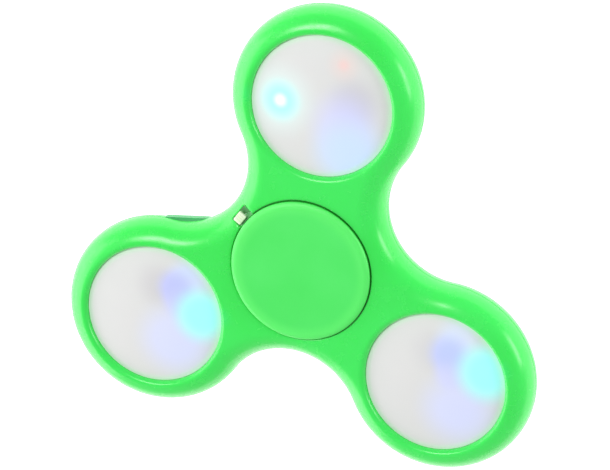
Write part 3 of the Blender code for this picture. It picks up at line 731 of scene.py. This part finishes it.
def recessGap(point, notched):
    # distance out from the cap's recess and, on the front, the knob's notch
    circle = math.hypot(point.x, point.y) - shellShape["recessRadius"]
    if not notched:
        return circle
    along, out = toNotch(point)
    corner = notch["corner"]
    halfOut = (notch["outer"] - shellShape["recessRadius"] + notch["overlap"]) / 2
    middleOut = notch["outer"] - halfOut
    dx = abs(along) - (notch["halfLength"] - corner)
    dy = abs(out - middleOut) - (halfOut - corner)
    box = math.hypot(max(dx, 0.0), max(dy, 0.0)) + min(max(dx, dy), 0.0) - corner
    return min(circle, box)


def circleLoop(radius, count):
    return [polar(radius, 2 * math.pi * i / count) for i in range(count)]


def recessLoop(grow, notched):
    # the recess circle, on the front with the notch standing out of it, both grown by the same amount
    radius = shellShape["recessRadius"] + grow
    if not notched:
        return circleLoop(radius, shellShape["backHubPoints"])
    half = notch["halfLength"] + grow
    outer = notch["outer"] + grow
    corner = notch["corner"] + grow
    opening = math.asin(half / radius)
    count = shellShape["hubPoints"]
    points = [polar(radius, notchAngle + opening + (2 * math.pi - 2 * opening) * i / count)
              for i in range(count + 1)]
    side = Matrix.Rotation(notchAngle, 3, "Z")
    wallStart, wallEnd = radius * math.cos(opening), outer - corner
    walls, turns, ends = notch["wallSteps"], notch["cornerSteps"], notch["endSteps"]
    for i in range(1, walls):
        points.append(side @ Vector((wallStart + (wallEnd - wallStart) * i / walls, -half, 0.0)))
    for i in range(turns + 1):
        turn = math.radians(-90 + 90 * i / turns)
        points.append(side @ (Vector((wallEnd, -half + corner, 0.0)) + polar(corner, turn)))
    for i in range(1, 2 * ends):
        points.append(side @ Vector((outer, (-half + corner) * (1 - i / ends), 0.0)))
    for i in range(turns + 1):
        turn = math.radians(90 * i / turns)
        points.append(side @ (Vector((wallEnd, half - corner, 0.0)) + polar(corner, turn)))
    for i in range(1, walls):
        points.append(side @ Vector((wallEnd + (wallStart - wallEnd) * i / walls, half, 0.0)))
    return points


def quarterDrop(distance, wide, tall):
    # how far a rolled edge has fallen, a distance in from its lip
    if distance >= wide:
        return 0.0
    share = 1 - max(distance, 0.0) / wide
    return tall * (1 - math.sqrt(max(0.0, 1 - share * share)))


def lensGap(point):
    flat = Vector((point.x, point.y, 0.0))
    return min((flat - lobe).length for lobe in lobeMiddles) - shellShape["lensHole"]


def topHeight(point, depth, notched):
    drop = quarterDrop(depth, shellShape["edge"], shellShape["edge"])
    drop += quarterDrop(lensGap(point), shellShape["lipWidth"], shellShape["lipDepth"])
    drop += quarterDrop(recessGap(point, notched), shellShape["recessLip"], shellShape["recessLip"])
    return halfBody - drop


triangleTolerance = 0.00001     # in mm


def triangulate(loops, extras, inside):
    # Delaunay triangles over the loops and extra points, kept where inside() says so
    points = [p for loop in loops for p in loop] + extras
    edges, start = [], 0
    for loop in loops:
        edges += [(start + i, start + (i + 1) % len(loop)) for i in range(len(loop))]
        start += len(loop)
    flat = [Vector((p.x / mm, p.y / mm)) for p in points]
    coords, _edges, faces, *_origins = delaunay_2d_cdt(flat, edges, [], 0, triangleTolerance)
    kept = []
    for face in faces:
        middle = sum((coords[i] for i in face), Vector((0, 0))) / len(face) * mm
        if inside(Vector((middle.x, middle.y, 0.0))):
            kept.append(face)
    return [Vector((c.x * mm, c.y * mm, 0.0)) for c in coords], kept


def ringsAcross(wide, steps):
    # distances across a rolled edge, close together where it is steep
    even = [wide * (1 - math.cos(math.radians(90.0 * i / steps))) for i in range(1, steps + 1)]
    return [max(surfaceRows["tightest"] * i, distance) for i, distance in enumerate(even, 1)]


def shellSurface(notched):
    # the outer skin of one half: rolled side, rolled lens lips and recess lip on one smooth top
    hole, lipWidth, edge = shellShape["lensHole"], shellShape["lipWidth"], shellShape["edge"]
    lensPoints = shellShape["lensPoints"]
    lensLoops = [[lobe + p for p in circleLoop(hole, lensPoints)] for lobe in lobeMiddles]
    loops = [outlineLoop(0.0)] + lensLoops + [recessLoop(0.0, notched)]
    extras = []
    lensClear, recessClear = lipWidth * surfaceRows["lipClear"], surfaceRows["recessClear"]
    for inset in ringsAcross(edge, surfaceRows["sideSteps"]):
        extras += [p for p in outlineLoop(inset)
                   if lensGap(p) > lensClear and recessGap(p, notched) > recessClear]
    for grow in ringsAcross(lipWidth, surfaceRows["lipSteps"]) + [lipWidth * surfaceRows["lipOuter"]]:
        for lobe in lobeMiddles:
            ring = [lobe + p for p in circleLoop(hole + grow, lensPoints)]
            extras += [p for p in ring if grow <= lipWidth or depthInside(p) > edge]
    recessRows = ringsAcross(shellShape["recessLip"], surfaceRows["recessSteps"])
    for grow in recessRows + [surfaceRows["recessOuter"]]:
        extras += recessLoop(grow, notched)

    def insideBody(point):
        edges = (lensGap(point), recessGap(point, notched))
        return depthInside(point) > 0 and min(edges) > -surfaceRows["slack"]

    coords, faces = triangulate(loops, extras, insideBody)
    verts = [Vector((p.x, p.y, topHeight(p, depthInside(p), notched))) for p in coords]
    return loops, verts, faces


def strip(faces, upper, lower):
    # joins two rows of vertices, given by index, with four-sided faces
    count = len(upper)
    for i in range(count):
        k = (i + 1) % count
        faces.append((upper[i], upper[k], lower[k], lower[i]))


def addRow(verts, loop, height):
    # puts a level row of vertices above a loop and gives their indices
    row = list(range(len(verts), len(verts) + len(loop)))
    verts += [Vector((p.x, p.y, height)) for p in loop]
    return row


def fillBetween(verts, faces, rows, inside):
    # flat faces between level rows of vertices
    order = [i for row in rows for i in row]
    flatLoops = [[Vector((verts[i].x, verts[i].y, 0.0)) for i in row] for row in rows]
    filled = triangulate(flatLoops, [], inside)[1]
    faces += [tuple(order[i] for i in face) for face in filled]


def makeShellSolid(name, notched):
    loops, verts, faces = shellSurface(notched)
    starts = [sum(len(loop) for loop in loops[:i]) for i in range(len(loops))]
    rows = [list(range(start, start + len(loop))) for start, loop in zip(starts, loops)]
    seam, chamfer = shellShape["seam"], shellShape["seamChamfer"]
    bend = chamfer * shellShape["seamBend"]
    outer = rows[0]
    for inset, height in ((0.0, seam + chamfer), (bend, seam + bend), (chamfer, seam)):
        lower = addRow(verts, outlineLoop(inset), height)
        strip(faces, outer, lower)
        outer = lower
    bottomRows = [outer]
    for row, loop in zip(rows[1:4], loops[1:4]):
        lower = addRow(verts, loop, seam)
        strip(faces, row, lower)
        bottomRows.append(lower)
    recess = addRow(verts, loops[4], shellShape["recessFloor"])
    strip(faces, rows[4], recess)
    ledge = circleLoop(shellShape["ledgeRadius"], shellShape["ledgePoints"])
    ledgeTop = addRow(verts, ledge, shellShape["recessFloor"])
    ledgeLimit = shellShape["ledgeRadius"] * surfaceRows["almost"]
    seamLimit = chamfer * surfaceRows["seamShare"]
    fillBetween(verts, faces, [recess, ledgeTop],
                lambda p: recessGap(p, notched) < 0 and p.length > ledgeLimit)
    ledgeLow = addRow(verts, ledge, seam)
    strip(faces, ledgeTop, ledgeLow)
    bottomRows.append(ledgeLow)
    fillBetween(verts, faces, bottomRows,
                lambda p: depthInside(p) > seamLimit and lensGap(p) > 0 and p.length > ledgeLimit)
    placed = [Vector((v.x, v.y, partingHeight + v.z)) for v in verts]
    return addMesh(name, placed, faces, shellGreen)


def makePrism(name, rows, material=shellGreen):
    # a closed solid through level rows of the same count of points, from the lowest up
    count = len(rows[0])
    verts = [p for row in rows for p in row]
    faces = [tuple(range(count)), tuple(range((len(rows) - 1) * count, len(rows) * count))]
    for level in range(len(rows) - 1):
        strip(faces, list(range((level + 1) * count, (level + 2) * count)),
              list(range(level * count, (level + 1) * count)))
    return addMesh(name, verts, faces, material)


cavityShape = {
    "seatWall": 12.2 * mm, "seatSteps": 72, "boss": 2.0 * mm, "bossSteps": 40,
    "shoulderDrop": 1.4 * mm, "crownInset": 0.5 * mm, "crownDrop": 0.45 * mm, "ceilingInset": 1.4 * mm,
    "thinning": 3,               # keeps every third point of the outline
}
screwHole = {"head": 1.7 * mm, "headFloor": 2.45 * mm, "headSteps": 48,
             "shank": 1.1 * mm, "pilot": 0.72 * mm, "tip": 2.15 * mm, "steps": 24}
screwPlaces = [middleOf(f"case_screw_{i + 1}") for i in range(3)]
switchPocket = {"inner": 10.9 * mm, "outward": 1.0 * mm, "halfLength": 3.65 * mm, "clearance": 0.3 * mm}
knobPocket = {"lip": 0.05 * mm, "inset": 0.02 * mm}
stemSlot = {"halfWidth": 0.28 * mm, "halfLength": 0.88 * mm, "low": 1.5 * mm, "overlap": 0.2 * mm}
pryTab = {"length": 7.1 * mm, "root": 0.35 * mm, "rim": 0.05 * mm, "low": 0.05 * mm, "high": 1.15 * mm,
          "swing": 49.0, "steps": 24}
columnReach = 6.0 * mm


def column(name, radius, place, steps, low=-columnReach, high=columnReach):
    # an upright cylinder between two heights above the parting plane
    centre = Vector((place[0], place[1], partingHeight))
    return revolve(name, [(0.0, high), (radius, high), (radius, low), (0.0, low)], centre, shellGreen, steps)


def makeCavity(name):
    # the hollow inside a shell, round the bearing seat and the screw bosses
    wall = shellShape["wall"]
    ceiling = halfBody - wall
    crown = (wall + cavityShape["crownInset"], ceiling - cavityShape["crownDrop"])
    levels = [(wall, -mm), (wall, ceiling - cavityShape["shoulderDrop"]), crown,
              (wall + cavityShape["ceilingInset"], ceiling)]
    rows = [[Vector((p.x, p.y, partingHeight + height))
             for p in outlineLoop(inset)[::cavityShape["thinning"]]] for inset, height in levels]
    cavity = makePrism(name, rows)
    kept = [column(name + "Seat", cavityShape["seatWall"], (0.0, 0.0), cavityShape["seatSteps"])]
    kept += [column(f"{name}Boss{i}", cavityShape["boss"], screw, cavityShape["bossSteps"])
             for i, screw in enumerate(screwPlaces)]
    return cutWith(cavity, kept)


def switchBox(name, inner, outer, halfLength, low, high, angle=switchAngle):
    # a box square to the switch: reach from the spin axis, and heights above the parting plane
    size = (outer - inner, 2 * halfLength, high - low)
    centre = polar((inner + outer) / 2, angle, partingHeight + (low + high) / 2)
    return block(name, size, centre, angle, shellGreen)


def makePryTab():
    # a small flat tab on the back half, along the waist beside the switch, for opening the case
    waist = min(waistMiddles, key=lambda w: (w.normalized() - polar(1.0, switchAngle)).length)
    middle = switchAngle + math.pi - math.radians(pryTab["swing"])
    radius, steps = shellShape["waistRadius"], pryTab["steps"]
    half = pryTab["length"] / 2 / radius
    loop = [waist + polar(radius + pryTab["root"], middle - half + 2 * half * i / steps)
            for i in range(steps + 1)]
    first, last = [waist + polar(radius + pryTab["rim"], middle + side * half) for side in (1, -1)]
    loop += [first.lerp(last, i / steps) for i in range(steps + 1)]
    rows = [[Vector((p.x, p.y, partingHeight + level)) for p in loop]
            for level in (pryTab["low"], pryTab["high"])]
    return makePrism("pryTab", rows, tabShadeGreen)


def frontCutters():
    # holes that take the screws, the pocket under the knob and the slot that its stem slides in
    housingReach = math.hypot(switchCentre.x, switchCentre.y)
    cutters = [column(f"pilotHole{i}", screwHole["pilot"], screw, screwHole["steps"], -mm, screwHole["tip"])
               for i, screw in enumerate(screwPlaces)]
    cutters.append(switchBox(
        "knobPocket", shellShape["recessRadius"] + knobPocket["lip"], notch["outer"] - knobPocket["inset"],
        notch["halfLength"] - knobPocket["inset"], notch["floor"], halfBody + mm, notchAngle))
    cutters.append(switchBox(
        "stemSlot", housingReach - stemSlot["halfWidth"], housingReach + stemSlot["halfWidth"],
        stemSlot["halfLength"], stemSlot["low"], notch["floor"] + stemSlot["overlap"]))
    return cutters


def backCutters():
    cutters = []
    for i, screw in enumerate(screwPlaces):
        cutters.append(column(f"shankHole{i}", screwHole["shank"], screw, screwHole["steps"], -mm, halfBody))
        cutters.append(column(f"headHole{i}", screwHole["head"], screw, screwHole["headSteps"],
                              screwHole["headFloor"], halfBody + mm))
    return cutters


def makeShell(name, isFront):
    # both halves are made face up; the back one is then turned over in its mirror plane, the parting plane
    housingReach = math.hypot(switchCentre.x, switchCentre.y)
    housing = [(corner.z - partingHeight) * (1 if isFront else -1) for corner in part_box("switch_housing")]
    clearance = switchPocket["clearance"]
    shell = makeShellSolid(name, isFront)
    if not isFront:
        cutWith(shell, [makePryTab()], "UNION")
    cutters = [
        makeCavity(name + "Cavity"),
        column(name + "Seat", shellShape["seatRadius"], (0.0, 0.0), shellShape["seatPoints"], -mm,
               shellShape["seatStep"]),
        switchBox(name + "SwitchPocket", switchPocket["inner"], housingReach + switchPocket["outward"],
                  switchPocket["halfLength"], min(housing) - clearance, max(housing) + clearance),
    ]
    cutWith(shell, cutters + (frontCutters() if isFront else backCutters()))
    if not isFront:
        mirror = Matrix.Translation((0, 0, 2 * partingHeight)) @ Matrix.Diagonal((1, 1, -1, 1))
        shell.data.transform(mirror)
        shell.data.flip_normals()
    mount(shell, "rotor", "shell_green", "front_shell" if isFront else "back_shell")
    return shell


frontShell = makeShell("frontShell", True)
makeShell("backShell", False)
print("shells made:", len(frontShell.data.polygons), "faces in the front one")


# Finger caps

capShape = {"edgeWide": 1.0 * mm, "edgeTall": 0.5 * mm, "back": 3.8 * mm, "chamfer": 0.1 * mm,
            "spigot": 3.9 * mm, "spigotEnd": 0.05 * mm, "spigotChamfer": 0.4 * mm,
            "edgeSteps": 12, "steps": 144}


def makeCap(name, side):
    back, chamfer = capShape["back"], capShape["chamfer"]
    spigot, end, taper = capShape["spigot"], capShape["spigotEnd"], capShape["spigotChamfer"]
    profile = [(0.0, capFace)]
    profile += roundCorner(capRadius, capFace, capShape["edgeWide"], capShape["edgeTall"],
                           capShape["edgeSteps"])
    profile += [
        (capRadius, back + chamfer), (capRadius - chamfer, back), (spigot, back),
        (spigot, end + taper), (spigot - taper, end), (0.0, end),
    ]
    return revolve(name, flipped(profile, side), Vector((0, 0, partingHeight)), capGreen, capShape["steps"])


mount(makeCap("frontCap", 1), "finger_hub", "cap_green", "front_cap")
mount(makeCap("backCap", -1), "finger_hub", "cap_green", "back_cap")
print("caps made")


# Lenses

lensShape = {"radius": 10.86 * mm, "rim": 3.1 * mm, "rise": 0.98 * mm, "wall": 0.8 * mm, "flange": 11.9 * mm,
             "flangeTop": 2.5 * mm, "seat": 0.6 * mm, "edge": 0.05 * mm,
             "domeSteps": 24, "edgeSteps": 4, "backSteps": 8, "steps": 128}


def domeHeight(radius):
    return lensShape["rim"] + lensShape["rise"] * (1 - (radius / lensShape["radius"]) ** 2)


def makeLens(name, lobe, side, material):
    outer, edge, wall = lensShape["radius"], lensShape["edge"], lensShape["wall"]
    flange, flangeTop, seat = lensShape["flange"], lensShape["flangeTop"], lensShape["seat"]
    inner = outer - wall
    domeSteps, backSteps = lensShape["domeSteps"], lensShape["backSteps"]
    radii = [(outer - edge) * i / domeSteps for i in range(domeSteps + 1)]
    profile = [(radius, domeHeight(radius)) for radius in radii]
    profile += roundCorner(outer, profile[-1][1], edge, edge, lensShape["edgeSteps"])[1:]
    profile += [(outer, flangeTop), (flange, flangeTop), (flange, seat), (inner, seat)]
    backRadii = [inner * i / backSteps for i in range(backSteps, -1, -1)]
    profile += [(radius, domeHeight(radius) - wall) for radius in backRadii]
    centre = Vector((lensCentres[lobe].x, lensCentres[lobe].y, partingHeight))
    return revolve(name, flipped(profile, side), centre, material, lensShape["steps"])


for lobe in lobeNames:
    for side, part in ((1, "front"), (-1, "rear")):
        title = f"{part}Lens{lobe.title()}"
        lens = makeLens(title, lobe, side, lensMaterial(title + "Frosted", lobe, side))
        mount(lens, "rotor", "lens_frosted", f"{part}_lens_{lobe}")
print("lenses made")


# Slide switch knob

knobShape = {
    "across": 1.33 * mm, "along": 1.74 * mm, "bevel": 0.12 * mm, "floorGap": 0.15 * mm,
    "shift": 0.58 * mm, "inward": 0.18 * mm, "stem": (0.35 * mm, 0.7 * mm),
}
ridgeShape = {"count": 3, "pitch": 0.42 * mm, "height": 0.07 * mm, "share": 0.72, "width": 0.16 * mm,
              "bevel": 0.04 * mm}


def makeRidges(middle):
    # ribs across the top of the knob, for a fingernail
    size = (knobShape["across"] * ridgeShape["share"], ridgeShape["width"], 2 * ridgeShape["height"])
    rib = block("ridge", size, Vector((0, 0, 0)), switchAngle, knobWhite, ridgeShape["bevel"], 2)
    centreIndex = (ridgeShape["count"] - 1) / 2
    spots = [middle + polar((i - centreIndex) * ridgeShape["pitch"], switchAngle + math.pi / 2)
             for i in range(ridgeShape["count"])]
    return bakeRepeat("knobRidges", rib, spots, knobWhite)


def makeKnob():
    # the head sits to one side of its stem, which fits the switch
    low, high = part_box("switch_knob")
    stemPlace = (low + high) / 2
    centre = stemPlace + polar(knobShape["shift"], switchAngle - math.pi / 2)
    centre -= polar(knobShape["inward"], switchAngle)
    headHeight = high.z - partingHeight - notch["floor"] - knobShape["floorGap"]
    place = Vector((centre.x, centre.y, high.z - headHeight / 2))
    head = block("switchKnob", (knobShape["across"], knobShape["along"], headHeight), place, switchAngle,
                 knobWhite, knobShape["bevel"])
    stemHeight = place.z - low.z
    stem = block("knobStem", (*knobShape["stem"], stemHeight),
                 Vector((stemPlace.x, stemPlace.y, low.z + stemHeight / 2)), switchAngle, knobWhite)
    ridges = makeRidges(Vector((centre.x, centre.y, high.z)))
    return cutWith(head, [stem, ridges], "UNION")


mount(makeKnob(), "switch_slider", "knob_white", "switch_knob")
print("switch knob made")


# Case screws, driven up from the back

screwShape = {
    "root": 0.5 * mm, "crest": 0.68 * mm, "pitch": 0.5 * mm, "threadShares": (0.35, 0.45, 0.8),
    "tip": 0.12 * mm, "tipLength": 0.9 * mm, "headHeight": 0.8 * mm, "edge": 0.3 * mm,
    "crossLength": 1.7 * mm, "crossWidth": 0.34 * mm, "crossDepth": 0.5 * mm,
    "edgeSteps": 6, "steps": 40,
}


def makeScrews():
    low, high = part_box("case_screw_1")
    bottom, tip, headRadius = low.z, high.z, (high.x - low.x) / 2
    seat = bottom + screwShape["headHeight"]
    threadTop = tip - screwShape["tipLength"]
    root, crest, pitch = screwShape["root"], screwShape["crest"], screwShape["pitch"]
    rise, fall, end = screwShape["threadShares"]
    profile = [(0.0, tip), (screwShape["tip"], tip)]
    for i in range(int((threadTop - seat) / pitch)):
        top = threadTop - i * pitch
        profile += [(root, top), (crest, top - pitch * rise), (crest, top - pitch * fall),
                    (root, top - pitch * end)]
    profile += [(root, seat), (headRadius, seat)]
    corner = roundCorner(headRadius, -bottom, screwShape["edge"], screwShape["edge"], screwShape["edgeSteps"])
    profile += flipped(corner[::-1], -1) + [(0.0, bottom)]
    screw = revolve("screw", profile, Vector((0, 0, 0)), platedSteel, screwShape["steps"])
    size = (screwShape["crossLength"], screwShape["crossWidth"], 2 * screwShape["crossDepth"])
    arms = [block(f"crossArm{i}", size, Vector((0, 0, bottom)), i * math.pi / 2, platedSteel)
            for i in range(2)]
    cutWith(screw, arms)
    spots = [Vector((place.x, place.y, 0.0)) for place in screwPlaces]
    return bakeRepeat("caseScrews", screw, spots, platedSteel)


mount(makeScrews(), "rotor", "screw_steel", "case_screw_1", "case_screw_2", "case_screw_3")
print("case screws made")


# CAD nodes that keep their shape

def paint(node, material):
    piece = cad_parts[node]
    piece.data.materials.clear()
    piece.data.materials.append(material)


for lobe in lobeNames:
    paint("led_board_" + lobe, boardWhite)
    paint("control_chip_" + lobe, chipBlack)
    paint("coin_cell_" + lobe, platedSteel)
    paint("cell_holder_" + lobe, chipBlack)
    for colour, material in ledMaterials.items():
        paint(f"led_{colour}_{lobe}", material)
for node in ("bearing_outer_race", "bearing_inner_race"):
    paint(node, raceSteel)
for node in ("bearing_shield_front", "bearing_shield_back", "switch_housing"):
    paint(node, platedSteel)
paint("bearing_cage", nylonCage)
for i in range(7):
    paint(f"bearing_ball_{i + 1}", ballSteel)
for node in ("switch_wire_left", "switch_wire_top", "link_wire_low", "link_wire_right"):
    paint(node, wireRed)


# Floor, lights and camera

cameraPlace = {
    "location": (0.1309, 0.1963, 0.4498), "aim": (0.00005, 0.00581, 0.0087), "up": (-0.2194, 0.9177, -0.3312),
    "focalLength": 198.1, "sensorWidth": 36.0, "clipStart": 0.01,
}


def makeCamera():
    data = bpy.data.cameras.new("camera")
    data.lens = cameraPlace["focalLength"]
    data.sensor_width = cameraPlace["sensorWidth"]
    data.clip_start = cameraPlace["clipStart"]
    camera = bpy.data.objects.new("camera", data)
    bpy.context.scene.collection.objects.link(camera)
    location = Vector(cameraPlace["location"])
    back = (location - Vector(cameraPlace["aim"])).normalized()
    right = Vector(cameraPlace["up"]).cross(back).normalized()
    up = back.cross(right)
    turn = Matrix((right, up, back)).transposed().to_4x4()
    camera.matrix_world = Matrix.Translation(location) @ turn
    bpy.context.scene.camera = camera


floorLook = {
    "colour": (0.42, 0.42, 0.42), "otherColour": (0.44, 0.44, 0.44),
    "grainScale": 900.0, "driftScale": 6.0,
    "roughness": 0.6, "markRoughness": 0.65, "bump": 0.02, "glow": 1.3, "reach": 1.5,
}


def makeFloor():
    # pale sheet that glows a little
    material = plasticMaterial("floorWhite", floorLook)
    reach = floorLook["reach"]
    corners = [(-reach, -reach, 0.0), (reach, -reach, 0.0), (reach, reach, 0.0), (-reach, reach, 0.0)]
    addMesh("floor", corners, [(0, 1, 2, 3)], material)


# Turn and rise are where a light stands, in degrees round and up from the object; lengths in metres
studio = {
    "sideSoftbox": {"turn": 21.0, "rise": 14.0, "distance": 0.7, "size": (0.34, 0.16), "power": 1.5},
    "overheadSoftbox": {"turn": 132.0, "rise": 56.0, "distance": 0.8, "size": (0.38, 0.17), "power": 2.9},
    "wideCard": {"turn": 202.0, "rise": 18.0, "distance": 0.9, "size": (1.3, 0.6), "power": 6.5},
}
sky = {"colour": (1.0, 1.0, 1.0, 1.0), "strength": 0.51}


def makeLight(name, values):
    rise = math.radians(values["rise"])
    direction = polar(math.cos(rise), math.radians(values["turn"]), math.sin(rise))
    data = bpy.data.lights.new(name, "AREA")
    data.shape = "RECTANGLE"
    data.size, data.size_y = values["size"]
    data.energy = values["power"]
    light = bpy.data.objects.new(name, data)
    bpy.context.scene.collection.objects.link(light)
    light.location = direction.normalized() * values["distance"]
    light.rotation_euler = (-direction).to_track_quat("-Z", "Y").to_euler()


def makeSky():
    world = bpy.data.worlds.new("studio")
    bpy.context.scene.world = world
    world.use_nodes = True
    background = world.node_tree.nodes["Background"]
    background.inputs["Color"].default_value = sky["colour"]
    background.inputs["Strength"].default_value = sky["strength"]


makeCamera()
makeFloor()
for name, values in studio.items():
    makeLight(name, values)
makeSky()
bpy.context.scene.view_settings.view_transform = "Standard"
print("camera, floor and lights placed")
